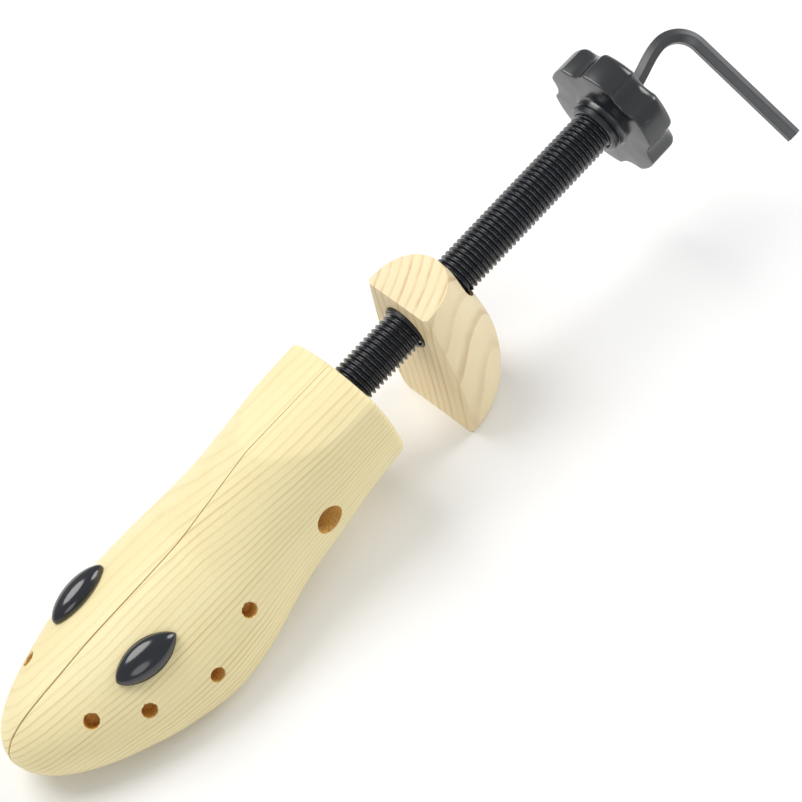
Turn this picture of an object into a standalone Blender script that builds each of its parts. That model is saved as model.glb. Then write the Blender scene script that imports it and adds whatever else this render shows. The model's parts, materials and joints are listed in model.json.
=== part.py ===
"""Two-way wooden shoe stretcher: a split forepart, a heel block on a threaded tube, and a width handle.

Lengths in the tables and constants are millimetres in the screw frame: the origin is the centre of the
forepart's rear face on the screw axis, +X runs to the toe, +Y to the left and +Z up from the sole.
The whole frame hangs on one empty that stands the object on its sole and heel, in metres.
"""
import math

import bmesh
import bpy
import numpy as np
from mathutils import Matrix, Vector

for old in list(bpy.data.objects):
    bpy.data.objects.remove(old, do_unlink=True)

MM = 0.001
GAP = 0.3
STAND_PITCH = math.radians(8.2)
# Centre of the standing object's footprint and its lowest level, seen from the screw frame's origin.
FOOTPRINT_X = -12.54
FOOTPRINT_Y = 7.07
FLOOR_Z = -58.82

# Forepart: distance from the rear face, half width, height of the widest line, crown, sole,
# squareness of the upper and of the lower quarter.
FOREPART_LENGTH = 208.0
STATIONS = np.array([
    (0.0, 31.0, -5.0, 26.5, -28.0, 2.3, 3.4),
    (24.0, 31.8, -7.1, 25.7, -30.0, 2.2, 3.6),
    (45.0, 32.8, -11.0, 23.4, -33.0, 2.0, 4.0),
    (62.0, 33.8, -14.0, 20.0, -35.0, 1.95, 4.2),
    (82.0, 37.4, -17.5, 15.6, -37.0, 1.9, 4.2),
    (99.0, 41.3, -21.0, 12.4, -39.0, 1.88, 4.0),
    (121.0, 43.6, -24.0, 11.5, -40.0, 1.86, 3.8),
    (146.0, 40.6, -21.5, 10.9, -38.0, 1.95, 3.2),
    (170.0, 33.4, -19.5, 8.6, -34.0, 2.1, 2.6),
    (188.0, 25.4, -16.6, 6.4, -28.6, 2.05, 2.3),
    (199.0, 17.6, -14.0, 2.8, -23.8, 2.0, 2.0),
    (206.0, 8.4, -11.6, -3.6, -17.4, 2.0, 2.0),
    (FOREPART_LENGTH, 1.6, -11.0, -9.4, -12.6, 2.0, 2.0),
])
RING_POINTS = 36
LOFT_STEP = 9.0
REAR_EDGE_ROUND = 2.4
SADDLE_CROWN = 22.4
SADDLE_DROP = 5.4
SADDLE_HALF_WIDTH = 22.5
KERF_REAR = 0.2
KERF_TOE = 0.5

# Holes for the plugs: distance from the rear face and height on the side of the forepart.
PLUG_HOLES = ((173.5, 1.3), (154.5, -6.5), (125.0, -14.5), (97.0, -6.5))
PLUG_HOLE_R = 3.4
PLUG_HOLE_DEPTH = 9.0
SIDE_HOLE_S = 46.5
SIDE_HOLE_Z = -9.5
SIDE_HOLE_R = 6.75
SIDE_HOLE_FLOOR_Y = 10.0

# Bunion plugs: almond heads on a round peg.
BUNION_S = 140.0
BUNION_Y = 22.9
BUNION_SIZE = (31.0, 14.6, 5.6)
BUNION_SPLAY = math.radians(7.5)
BUNION_TAPER = 0.62
BUNION_SKIRT = 0.7
BUNION_PEG_R = 3.1
BUNION_PEG_LENGTH = 8.0

# Hinge at the rear of the halves.
HINGE_X = 1.8
HINGE_PIN_R = 1.2
PLATE_X = (0.3, 3.3)
PLATE_HALF = (13.0, 12.5)
REBATE_HALF = (14.0, 17.0)
REBATE_DEPTH = 5.6
JOURNAL_R = 8.3
JOURNAL_SEAT_R = 12.4
JOURNAL_SEAT_END = 9.5
CHANNEL_R = 4.9

# Cross bolt: radii and distances from the middle plane.
BOLT_R = 2.5
BOLT_HEAD_R = 4.6
BOLT_HOLE_R = 3.6
BOLT_SEAT_Y = 18.3
NUT_INNER_R = 3.1
NUT_OUTER_R = 4.9
SPRING_START_Y = 12.9
SPRING_PITCH = 0.82
SPRING_RADII = (3.4, 5.1)
SPRING_THICKNESS = 0.7
SPRING_COUNT = 6

# Expander.
RAMP_SLOPE = math.tan(math.radians(14.0))
WEDGE_X = (88.0, 118.0)
WEDGE_REAR_HALF = 5.4
WEDGE_Z = (-8.0, 4.8)
RAMP_X = (88.5, 106.0)
RAMP_THICKNESS = 1.2
RAMP_CLEARANCE = 0.5
RAMP_Z = (-7.4, 4.4)
POCKET_X = (68.0, 128.0)
POCKET_Z = (-8.7, 5.4)
RAMP_POCKET_Z = (-8.4, 5.15)
STUD_R = 3.0

# Tube, knob and rod.
TUBE_R = 10.0
TUBE_BORE_R = 4.3
TUBE_END_X = -173.0
KNOB_NEAR_X = -166.0
KNOB_FAR_X = -182.5
KNOB_R = 29.8
KNOB_HOLLOW = 3.4
KNOB_LOBES = 6
KNOB_LOBE_PHASE = math.radians(21.0)
KNOB_LOBE_HALF = math.radians(15.5)
KNOB_NEAR_CHAMFER = 1.2
KNOB_FAR_ROUND = 4.6
HUB_R = 13.0
HUB_FACE_X = -159.5
RECESS_FLOOR_X = -176.5
RECESS_R = 8.0
ROD_ACROSS_FLATS = 6.35
ROD_BEND_X = -223.0
ROD_BEND_R = 13.0
ROD_LEG = 72.0
ROD_LEG_DIRECTION = (0.829, -0.559)
ROD_TIP_FROM_AXIS = 67.0

# Heel block: height, half width, depth behind the front face.
HEEL_FRONT_X = -37.5
HEEL_LEAN = 0.09
HEEL_SECTIONS = (
    (-64.0, 22.4, 25.0),
    (-62.0, 23.6, 28.8),
    (-54.0, 25.4, 35.0),
    (-37.0, 26.2, 38.6),
    (-16.0, 24.4, 36.2),
    (2.0, 21.6, 31.2),
    (14.0, 19.4, 27.2),
    (18.6, 18.4, 25.6),
)
HEEL_RING = 20
BUSH_R = 11.2
BUSH_LENGTH = 22.0

STUD_START_X = 68.0
STUD_END_X = 126.5

TOEWARD = Vector((1, 0, 0))
HEELWARD = -TOEWARD
STAND = bpy.data.objects.new("stand", None)

WOOD = ("pine", (0.86, 0.70, 0.44), 0.5, 0.0)
STEEL = ("steel", (0.56, 0.57, 0.58), 0.35, 1.0)
BLACK_STEEL = ("black_steel", (0.03, 0.031, 0.034), 0.38, 0.7)
BLACK_PLASTIC = ("black_plastic", (0.012, 0.013, 0.016), 0.22, 0.0)
TUBE_PLASTIC = ("tube_plastic", (0.018, 0.02, 0.023), 0.3, 0.0)


def material(spec, node):
    name, colour, roughness, metallic = spec
    mat = bpy.data.materials.new(node + "_" + name)
    mat.use_nodes = True
    shader = mat.node_tree.nodes["Principled BSDF"]
    shader.inputs["Base Color"].default_value = (*colour, 1.0)
    shader.inputs["Roughness"].default_value = roughness
    shader.inputs["Metallic"].default_value = metallic
    return mat


def add_object(name, bm, spec=None):
    """Makes one object in the screw frame from a bmesh in millimetres."""
    bmesh.ops.recalc_face_normals(bm, faces=bm.faces)
    if bm.calc_volume(signed=True) < 0:
        bmesh.ops.reverse_faces(bm, faces=bm.faces)
    bmesh.ops.scale(bm, vec=(MM, MM, MM), verts=bm.verts)
    mesh = bpy.data.meshes.new(name)
    bm.to_mesh(mesh)
    bm.free()
    obj = bpy.data.objects.new(name, mesh)
    bpy.context.collection.objects.link(obj)
    obj.parent = STAND
    if spec is None:
        obj.hide_render = True
        obj.display_type = "WIRE"
    else:
        mesh.materials.append(material(spec, name))
        mesh.shade_smooth()
        mesh.set_sharp_from_angle(angle=math.radians(35.0))
    return obj


def set_origin(obj, point):
    """Puts an object's origin on its joint axis without moving its mesh."""
    offset = Vector(point) * MM
    obj.data.transform(Matrix.Translation(-offset))
    obj.location = offset
    return obj


def cut(obj, *cutters, operation="DIFFERENCE"):
    for cutter in cutters:
        modifier = obj.modifiers.new(cutter.name, "BOOLEAN")
        modifier.object = cutter
        modifier.operation = operation
        modifier.solver = "EXACT"
    return obj


def box(low, high):
    bm = bmesh.new()
    size = [h - l for l, h in zip(low, high)]
    middle = [(h + l) / 2 for l, h in zip(low, high)]
    bmesh.ops.create_cube(bm, size=1.0, matrix=Matrix.Translation(middle) @ Matrix.Diagonal((*size, 1.0)))
    return bm


def cylinder(start, end, radius, segments=32):
    start, end = Vector(start), Vector(end)
    direction = end - start
    turn = direction.to_track_quat("Z", "Y").to_matrix().to_4x4()
    bm = bmesh.new()
    bmesh.ops.create_cone(
        bm, cap_ends=True, segments=segments, radius1=radius, radius2=radius, depth=direction.length,
        matrix=Matrix.Translation((start + end) / 2) @ turn,
    )
    return bm


def loft(rings):
    """Skins closed rings of equal length and caps both ends."""
    bm = bmesh.new()
    rows = [[bm.verts.new(p) for p in ring] for ring in rings]
    count = len(rows[0])
    for near, far in zip(rows, rows[1:]):
        for i in range(count):
            j = (i + 1) % count
            bm.faces.new((near[i], near[j], far[j], far[i]))
    bm.faces.new(rows[0])
    bm.faces.new(rows[-1])
    return bm


def turned(profile, axis_start, direction, segments=32):
    """Spins a closed (distance along, radius) outline about an axis."""
    direction = Vector(direction).normalized()
    turn = direction.to_track_quat("Z", "Y")
    bm = bmesh.new()
    rows = []
    for i in range(segments):
        angle = 2 * math.pi * i / segments
        rows.append([
            bm.verts.new(Vector(axis_start) + turn @ Vector((r * math.cos(angle), r * math.sin(angle), d)))
            for d, r in profile
        ])
    count = len(profile)
    for i in range(segments):
        here, after = rows[i], rows[(i + 1) % segments]
        for j in range(count):
            k = (j + 1) % count
            bm.faces.new((here[j], here[k], after[k], after[j]))
    return bm


def tube_profile(start, end, inner, outer):
    return [(start, inner), (start, outer), (end, outer), (end, inner)]


def smooth_value(s, column):
    """Monotone cubic through one column of the forepart's stations."""
    xs, ys = STATIONS[:, 0], STATIONS[:, column]
    slopes = np.diff(ys) / np.diff(xs)
    tangents = np.zeros(len(xs))
    tangents[0], tangents[-1] = slopes[0], slopes[-1]
    for i in range(1, len(xs) - 1):
        if slopes[i - 1] * slopes[i] > 0:
            tangents[i] = 2 * slopes[i - 1] * slopes[i] / (slopes[i - 1] + slopes[i])
    i = int(np.clip(np.searchsorted(xs, s) - 1, 0, len(xs) - 2))
    h = xs[i + 1] - xs[i]
    t = (s - xs[i]) / h
    return (
        (1 + 2 * t) * (1 - t) ** 2 * ys[i] + t * (1 - t) ** 2 * h * tangents[i]
        + t * t * (3 - 2 * t) * ys[i + 1] + t * t * (t - 1) * h * tangents[i + 1]
    )


def saddle_height(y):
    return SADDLE_CROWN - SADDLE_DROP * (y / SADDLE_HALF_WIDTH) ** 2


def forepart_ring(s, inset=0.0):
    """The forepart's section at one distance from its rear face."""
    half, widest, crown, sole, square_up, square_down = (smooth_value(s, c) for c in range(1, 7))
    ring = []
    for i in range(RING_POINTS):
        angle = 2 * math.pi * (i + 0.5) / RING_POINTS
        power = 2 / (square_up if math.sin(angle) > 0 else square_down)
        reach = (crown - widest) if math.sin(angle) > 0 else (widest - sole)
        y = (half - inset) * math.copysign(abs(math.cos(angle)) ** power, math.cos(angle))
        z = widest + (reach - inset) * math.copysign(abs(math.sin(angle)) ** power, math.sin(angle))
        ring.append((s, y, min(z, saddle_height(y) - inset)))
    return ring


def side_point(s, z):
    """A point on the left side of the forepart and its outward normal."""
    def outside(p):
        half, widest, crown, sole, up, down = (smooth_value(p[0], c) for c in range(1, 7))
        square = up if p[2] > widest else down
        reach = (crown - widest) if p[2] > widest else (widest - sole)
        return (abs(p[1]) / half) ** square + (abs(p[2] - widest) / reach) ** square - 1

    low, high = 0.0, 60.0
    for _ in range(40):
        middle = (low + high) / 2
        if outside((s, middle, z)) > 0:
            high = middle
        else:
            low = middle
    point = Vector((s, low, z))
    steps = [0.05 * axis for axis in Matrix.Identity(3)]
    normal = Vector([outside(point + step) - outside(point - step) for step in steps])
    return point, normal.normalized()


def height_at(s, y):
    """Height of the forepart's upper surface."""
    half, widest, crown, _, square, _ = (smooth_value(s, c) for c in range(1, 7))
    return widest + (crown - widest) * (1 - (abs(y) / half) ** square) ** (1 / square)


def mirrored(vector, side):
    return Vector((vector[0], vector[1] * side, vector[2]))


def forepart_body(name, side):
    rings = []
    for a in np.radians((0, 30, 60)):
        x = REAR_EDGE_ROUND * (1 - math.cos(a))
        rings.append([(x, y, z) for _, y, z in forepart_ring(0.0, REAR_EDGE_ROUND * (1 - math.sin(a)))])
    straight_end = STATIONS[-5][0]
    count = int((straight_end - REAR_EDGE_ROUND) / LOFT_STEP)
    rings += [forepart_ring(s) for s in np.linspace(REAR_EDGE_ROUND, straight_end, count + 1)]
    # Rings close up towards the toe, as points on a quarter turn.
    toe = FOREPART_LENGTH - straight_end
    rings += [forepart_ring(straight_end + toe * math.sin(a)) for a in np.radians(np.linspace(11, 90, 9))]
    body = add_object(name, loft(rings), WOOD)

    far = 80.0 * side
    toe_end = FOREPART_LENGTH + 10
    outline = [(-10, side * KERF_REAR), (toe_end, side * KERF_TOE), (toe_end, far), (-10, far)]
    half_space = loft([[(x, y, z) for x, y in outline] for z in (-60, 60)])
    cut(body, add_object(name + "_half", half_space), operation="INTERSECT")
    return body


def wedge_half_width(x):
    return WEDGE_REAR_HALF + (x - WEDGE_X[0]) * RAMP_SLOPE


def slab(x_low, x_high, inner, outer, heights, side):
    """A plate that follows the ramp, from one offset to another outside the wedge's face."""
    outline = ((x_low, inner), (x_high, inner), (x_high, outer), (x_low, outer))
    return loft([[(x, side * (wedge_half_width(x) + offset), z) for x, offset in outline] for z in heights])


def cut_forepart(body, side, tag):
    """Channel, pockets, side hole and plug holes of one half."""
    def across(y):
        return (SIDE_HOLE_S, side * y, SIDE_HOLE_Z)

    rebate_y, rebate_z = REBATE_HALF
    ramp_outer = RAMP_CLEARANCE + RAMP_THICKNESS + GAP
    shapes = [
        ("rebate", box((-5, -rebate_y, -rebate_z), (REBATE_DEPTH, rebate_y, rebate_z))),
        ("journal", cylinder((-4, 0, 0), (JOURNAL_SEAT_END, 0, 0), JOURNAL_SEAT_R, 32)),
        ("channel", cylinder((-3, 0, 0), (POCKET_X[0] + 4, 0, 0), CHANNEL_R, 24)),
        ("side_hole", cylinder(across(SIDE_HOLE_FLOOR_Y), across(45), SIDE_HOLE_R, 32)),
        ("bolt_hole", cylinder(across(-2), across(16), BOLT_HOLE_R, 20)),
        ("pocket", box((POCKET_X[0], -6.0, POCKET_Z[0]), (POCKET_X[1], 6.0, POCKET_Z[1]))),
        ("ramp_pocket", slab(POCKET_X[0] + 16, POCKET_X[1] - 0.4, -8.0, ramp_outer, RAMP_POCKET_Z, side)),
    ]
    for number, (s, z) in enumerate(PLUG_HOLES):
        point, normal = side_point(s, z)
        point, normal = mirrored(point, side), mirrored(normal, side)
        shapes.append((
            "plug_hole_%d" % number,
            cylinder(point - normal * PLUG_HOLE_DEPTH, point + normal * 6, PLUG_HOLE_R, 20),
        ))
    seat, out, _ = bunion_frame(side)
    socket_end = seat - out * (BUNION_PEG_LENGTH + 0.6)
    shapes.append(("socket", cylinder(socket_end, seat + out * 8, BUNION_PEG_R + GAP, 20)))
    cut(body, *[add_object("cut_" + name + "_" + tag, bm) for name, bm in shapes])


def bunion_frame(side):
    """Seat, outward direction and length direction of one bunion plug."""
    s, y = BUNION_S, BUNION_Y
    rise_s = (height_at(s + 8, y) - height_at(s - 8, y)) / 16
    rise_y = (height_at(s, y + 4) - height_at(s, y - 4)) / 8
    out = Vector((-rise_s, -rise_y, 1)).normalized()
    along = Vector((math.cos(BUNION_SPLAY), -math.sin(BUNION_SPLAY), 0))
    along = (along - out * along.dot(out)).normalized()
    seat = Vector((s, y, height_at(s, y))) + out * GAP
    return mirrored(seat, side), mirrored(out, side), mirrored(along, side)


def bunion_plug(name, side):
    """A half spindle with pointed ends on a round peg."""
    seat, out, along = bunion_frame(side)
    across = out.cross(along)
    length, width, height = BUNION_SIZE
    rings = []
    for t in np.sin(np.radians(np.linspace(-83, 83, 17))):
        centre = seat + along * (t * length / 2)
        half = width / 2 * (1 - t * t) ** BUNION_TAPER
        tall = height * (1 - t * t) ** BUNION_TAPER
        ring = [
            centre + across * (half * math.cos(a)) + out * (BUNION_SKIRT + tall * math.sin(a))
            for a in np.linspace(0, math.pi, 11)
        ]
        rings.append(ring + [centre - across * half, centre + across * half])
    head = add_object(name, loft(rings), BLACK_PLASTIC)
    peg = cylinder(seat - out * BUNION_PEG_LENGTH, seat + out * 2, BUNION_PEG_R, 20)
    peg = add_object("add_peg_" + name, peg)
    cut(head, peg, operation="UNION")
    set_origin(head, seat)
    set_origin(peg, seat)
    return head


def hinge_bracket(tag, side, flip, eye_low):
    """One bracket of a half: a foot against the wood and an eye round the pin, with its screw."""
    eye = sorted((flip * eye_low, flip * (eye_low + 1.2)))
    foot = sorted((flip * 12.8, flip * 16.6))
    foot_y = sorted((side * 3.4, side * 12.0))
    tab_y = sorted((0.0, side * 6.0))
    name = "hinge_bracket_" + tag
    bracket = add_object(name, box((4.1, foot_y[0], foot[0]), (5.3, foot_y[1], foot[1])), STEEL)
    tab = add_object("add_tab_" + tag, box((HINGE_X, tab_y[0], eye[0]), (4.6, tab_y[1], eye[1])))
    ring = add_object("add_eye_" + tag, cylinder((HINGE_X, 0, eye[0]), (HINGE_X, 0, eye[1]), 2.6, 20))
    cut(bracket, tab, ring, operation="UNION")
    pin_hole = cylinder((HINGE_X, 0, eye[0] - 1), (HINGE_X, 0, eye[1] + 1), HINGE_PIN_R + 0.06, 20)
    screw = Vector((3.7, side * 8.8, sum(foot) / 2))
    screw_hole = cylinder(screw - TOEWARD * 0.2, screw + TOEWARD * 2.3, 0.95, 14)
    cut(bracket, add_object("cut_eye_" + tag, pin_hole), add_object("cut_screw_" + tag, screw_hole))
    set_origin(bracket, (HINGE_X, 0, 0))
    shank = [(0.0, 1.1), (0.35, 1.1), (0.35, 0.75), (9.0, 0.75), (10.5, 0.1)]
    add_object("hinge_screw_" + tag, turned_solid(shank, screw, TOEWARD, 14), STEEL)
    return screw


def build_stand():
    bpy.context.collection.objects.link(STAND)
    STAND.rotation_euler = (0.0, STAND_PITCH, 0.0)
    STAND.location = (-FOOTPRINT_X * MM, -FOOTPRINT_Y * MM, -FLOOR_Z * MM)


def build_foreparts():
    for tag, side in (("left", 1), ("right", -1)):
        half = forepart_body("forepart_" + tag, side)
        cut_forepart(half, side, tag)
        set_origin(half, (HINGE_X, 0, 0))
        bunion_plug("bunion_plug_" + tag, side)
        plate = slab(*RAMP_X, RAMP_CLEARANCE, RAMP_CLEARANCE + RAMP_THICKNESS, RAMP_Z, side)
        set_origin(add_object("ramp_plate_" + tag, plate, STEEL), (HINGE_X, 0, 0))


def build_hinge():
    half_y, half_z = PLATE_HALF
    plate = box((PLATE_X[0], -half_y, -half_z), (PLATE_X[1], half_y, half_z))
    plate = add_object("bearing_plate", plate, STEEL)
    cut(plate, add_object("cut_journal", cylinder((-2, 0, 0), (6, 0, 0), JOURNAL_R + 0.08, 40)))
    for level, flip in (("upper", 1), ("lower", -1)):
        hole = cylinder((HINGE_X, 0, flip * 10), (HINGE_X, 0, flip * 14), HINGE_PIN_R + 0.1, 20)
        cut(plate, add_object("cut_pin_" + level, hole))
        pin = cylinder((HINGE_X, 0, flip * 10.3), (HINGE_X, 0, flip * 16.4), HINGE_PIN_R, 20)
        set_origin(add_object("hinge_pin_" + level, pin, STEEL), (HINGE_X, 0, 0))
        for side_name, side, eye_low in (("left", 1, 12.9), ("right", -1, 14.5)):
            tag = side_name + "_" + level
            screw = hinge_bracket(tag, side, flip, eye_low)
            pilot = cylinder(screw + TOEWARD * 0.3, screw + TOEWARD * 12.3, 1.1, 14)
            cut(bpy.data.objects["forepart_" + side_name], add_object("cut_pilot_" + tag, pilot))


def build_cross_bolt():
    """The bolt that holds the halves together, with a stack of disc springs under each end."""
    place = (SIDE_HOLE_S, 0, SIDE_HOLE_Z)
    head_y, end_y = -BOLT_SEAT_Y - 3.5, BOLT_SEAT_Y + 4.3
    bolt = [(head_y, 0), (head_y, BOLT_HEAD_R), (-BOLT_SEAT_Y, BOLT_HEAD_R)]
    bolt += [(-BOLT_SEAT_Y, BOLT_R), (end_y, BOLT_R), (end_y, 0)]
    add_object("cross_bolt", turned_solid(bolt, place, (0, 1, 0), 24), STEEL)
    nut = tube_profile(BOLT_SEAT_Y, BOLT_SEAT_Y + 3.7, NUT_INNER_R, NUT_OUTER_R)
    add_object("cross_nut", turned(nut, place, (0, 1, 0), 6), STEEL)
    inner = [(SPRING_START_Y + SPRING_PITCH * i, SPRING_RADII[i % 2]) for i in range(SPRING_COUNT + 1)]
    outer = [(d, r + SPRING_THICKNESS) for d, r in reversed(inner)]
    for tag, side in (("left", 1), ("right", -1)):
        stack = turned([(side * d, r) for d, r in inner + outer], place, (0, 1, 0), 16)
        add_object("disc_springs_" + tag, stack, STEEL)


def turned_solid(profile, start, direction, segments):
    """Spins an outline whose ends lie on the axis."""
    direction = Vector(direction).normalized()
    turn = direction.to_track_quat("Z", "Y")
    rings = []
    for d, r in profile:
        radius = max(r, 0.01)
        rings.append([
            Vector(start) + turn @ Vector((radius * math.cos(a), radius * math.sin(a), d))
            for a in np.linspace(0, 2 * math.pi, segments, endpoint=False)
        ])
    return loft(rings)


def build_expander():
    rear, front = WEDGE_X
    outline = ((rear, -1), (front, -1), (front, 1), (rear, 1))
    wedge = loft([[(x, side * wedge_half_width(x), z) for x, side in outline] for z in WEDGE_Z])
    wedge = add_object("expander_wedge", wedge, STEEL)
    cut(wedge, add_object("cut_wedge_bore", cylinder((rear - 3, 0, 0), (front + 3, 0, 0), STUD_R + 0.1, 24)))


def hex_ring(centre, first, second):
    corner = ROD_ACROSS_FLATS / math.sqrt(3)
    angles = [math.radians(60 * i) for i in range(6)]
    return [centre + first * (corner * math.cos(a)) + second * (corner * math.sin(a)) for a in angles]


def build_rod():
    leg = Vector((0, *ROD_LEG_DIRECTION))
    across = Vector((-1, 0, 0)).cross(leg)
    turn_centre = leg * (ROD_BEND_R - ROD_LEG + ROD_TIP_FROM_AXIS)
    turn_centre.x = ROD_BEND_X + ROD_BEND_R
    start_offset = turn_centre - leg * ROD_BEND_R
    start_offset.x = 0
    # The bar runs along the axis, sways out ahead of the bend and turns into the leg.
    rings = []
    sway_start = KNOB_FAR_X - 2
    for x in (STUD_START_X, sway_start):
        rings.append(hex_ring(Vector((x, 0, 0)), across, leg))
    sway_end = turn_centre.x
    for t in (0.25, 0.5, 0.75, 1.0):
        ease = t * t * (3 - 2 * t)
        centre = Vector((sway_start + (sway_end - sway_start) * t, 0, 0)) + start_offset * ease
        rings.append(hex_ring(centre, across, leg))
    for angle in np.radians(np.linspace(12, 90, 8)):
        outward = (-leg) * math.cos(angle) + Vector((-1, 0, 0)) * math.sin(angle)
        rings.append(hex_ring(turn_centre + outward * ROD_BEND_R, across, -outward))
    tip = leg * ROD_TIP_FROM_AXIS
    rings.append(hex_ring(Vector((ROD_BEND_X, tip.y, tip.z)), across, Vector((1, 0, 0))))
    rod = add_object("handle_rod", loft(rings), BLACK_STEEL)
    stud = add_object("add_stud", cylinder((STUD_START_X - 4, 0, 0), (STUD_END_X, 0, 0), STUD_R, 24))
    cut(rod, stud, operation="UNION")

    build_rod_fittings()


def build_rod_fittings():
    """The collar and washer in the knob's recess, and the nut that stops the wedge."""
    screw_x = KNOB_FAR_X + 2
    collar = turned(tube_profile(0, 4.7, 3.78, 6.5), (KNOB_FAR_X + 4.4, 0, 0), HEELWARD, 28)
    collar = add_object("rod_collar", collar, STEEL)
    cut(collar, add_object("cut_collar_screw", cylinder((screw_x, 0, 3.0), (screw_x, 0, 8.0), 1.1, 12)))
    add_object("collar_screw", cylinder((screw_x, 0, 4.0), (screw_x, 0, 6.4), 0.85, 12), STEEL)
    washer = turned(tube_profile(0, 1.0, 4.0, 7.5), (RECESS_FLOOR_X - 0.3, 0, 0), HEELWARD, 28)
    add_object("thrust_washer", washer, STEEL)
    nut = turned(tube_profile(0, 4.5, STUD_R + 0.6, NUT_OUTER_R), (STUD_END_X - 5, 0, 0), TOEWARD, 6)
    add_object("stop_nut", nut, STEEL)


def build_tube():
    ring_groove = ((4.9, JOURNAL_R), (4.9, 7.6), (3.5, 7.6), (3.5, JOURNAL_R))
    profile = [(7.2, TUBE_BORE_R), (7.2, JOURNAL_R - 0.5), (6.7, JOURNAL_R), *ring_groove]
    profile += [(-0.2, JOURNAL_R), (-0.2, TUBE_R - 1.2), (-1.4, TUBE_R)]
    profile += [(TUBE_END_X, TUBE_R), (TUBE_END_X, TUBE_BORE_R)]
    add_object("threaded_tube", turned(profile, (0, 0, 0), TOEWARD, 40), TUBE_PLASTIC)
    ring = turned(tube_profile(3.7, 4.7, 7.75, 10.8), (0, 0, 0), TOEWARD, 28)
    add_object("tube_retaining_ring", ring, STEEL)


def knob_radius(angle, rim):
    """Broad round lobes with a scallop between each two."""
    step = 2 * math.pi / KNOB_LOBES
    from_lobe = abs((angle - KNOB_LOBE_PHASE + step / 2) % step - step / 2)
    into = max(0.0, (from_lobe - KNOB_LOBE_HALF) / (step / 2 - KNOB_LOBE_HALF))
    return rim - KNOB_HOLLOW * (1 - (1 - into) ** 2)


def build_knob():
    angles = np.linspace(0, 2 * math.pi, 72, endpoint=False)
    outline = [(KNOB_NEAR_X, KNOB_NEAR_CHAMFER), (KNOB_NEAR_X - KNOB_NEAR_CHAMFER, 0.0)]
    for a in np.radians((0, 30, 60, 90)):
        outline.append((KNOB_FAR_X + KNOB_FAR_ROUND * (1 - math.sin(a)), KNOB_FAR_ROUND * (1 - math.cos(a))))
    rings = []
    for x, inset in outline:
        radii = [knob_radius(a, KNOB_R - inset) for a in angles]
        rings.append([(x, radius * math.cos(a), radius * math.sin(a)) for a, radius in zip(angles, radii)])
    knob = add_object("knob", loft(rings), BLACK_PLASTIC)
    hub_profile = [(0.0, HUB_R - 1.0), (1.0, HUB_R), (HUB_FACE_X - KNOB_NEAR_X + 2, HUB_R)]
    hub = turned_solid(hub_profile, (HUB_FACE_X, 0, 0), HEELWARD, 36)
    cut(knob, add_object("add_hub", hub), operation="UNION")
    screw_x = HUB_FACE_X - 3.2
    far_end = (KNOB_FAR_X - 3, 0, 0)
    bores = (
        ("tube_bore", cylinder((HUB_FACE_X + 3, 0, 0), (TUBE_END_X - 0.4, 0, 0), TUBE_R + GAP, 40)),
        ("rod_bore", cylinder((TUBE_END_X + 2, 0, 0), far_end, TUBE_BORE_R + 0.4, 24)),
        ("recess", cylinder((RECESS_FLOOR_X, 0, 0), far_end, RECESS_R, 32)),
        ("knob_screw", cylinder((screw_x, 0, -HUB_R - 2), (screw_x, 0, -TUBE_R), 1.6, 16)),
    )
    cut(knob, *[add_object("cut_" + name, bm) for name, bm in bores])
    screw = cylinder((screw_x, 0, -HUB_R + 0.4), (screw_x, 0, -TUBE_R - 0.2), 1.3, 16)
    add_object("knob_screw", screw, STEEL)


def build_heel():
    rings = []
    for z, half, depth in HEEL_SECTIONS:
        front = HEEL_FRONT_X - HEEL_LEAN * z
        ring = [(front, half * side * k, z) for side, k in ((1, 0.5), (1, 0.93))]
        count = HEEL_RING
        for i in range(count + 1):
            a = math.pi * i / count
            reach = math.sin(a) ** 0.82
            ring.append((front - 1.2 - (depth - 1.2) * reach, half * math.cos(a), z))
        ring += [(front, half * side * k, z) for side, k in ((-1, 0.93), (-1, 0.5))]
        rings.append(ring)
    block = add_object("heel_block", loft(rings), WOOD)
    bore = add_object("cut_heel_bore", cylinder((-20, 0, 0), (-90, 0, 0), BUSH_R + GAP, 40))
    cut(block, bore)
    bush = turned(tube_profile(0, BUSH_LENGTH, TUBE_R + GAP, BUSH_R), (HEEL_FRONT_X + 0.9, 0, 0), HEELWARD, 40)
    add_object("heel_thread_bush", bush, BLACK_PLASTIC)


build_stand()
build_foreparts()
build_hinge()
build_cross_bolt()
build_expander()
build_rod()
build_tube()
build_knob()
build_heel()
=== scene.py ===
"""Looks of the two-way wooden shoe stretcher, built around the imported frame."""
import json
import math

import bpy
from mathutils import Matrix, Vector, noise


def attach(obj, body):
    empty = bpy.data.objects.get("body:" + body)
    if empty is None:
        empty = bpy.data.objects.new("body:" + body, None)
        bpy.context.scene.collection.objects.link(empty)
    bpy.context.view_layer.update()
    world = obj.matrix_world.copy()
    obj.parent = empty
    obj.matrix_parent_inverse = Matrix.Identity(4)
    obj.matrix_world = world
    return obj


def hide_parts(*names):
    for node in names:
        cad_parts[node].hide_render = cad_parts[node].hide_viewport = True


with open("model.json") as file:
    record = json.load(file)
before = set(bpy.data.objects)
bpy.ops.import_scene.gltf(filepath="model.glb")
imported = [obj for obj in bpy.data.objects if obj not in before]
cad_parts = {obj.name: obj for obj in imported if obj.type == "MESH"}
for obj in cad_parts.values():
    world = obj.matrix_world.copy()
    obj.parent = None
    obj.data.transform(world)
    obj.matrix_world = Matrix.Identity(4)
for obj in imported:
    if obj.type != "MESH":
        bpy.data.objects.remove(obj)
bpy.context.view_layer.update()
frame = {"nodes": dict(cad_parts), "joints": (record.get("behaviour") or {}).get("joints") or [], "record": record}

MM = 0.001
TAU = 2 * math.pi

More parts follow.
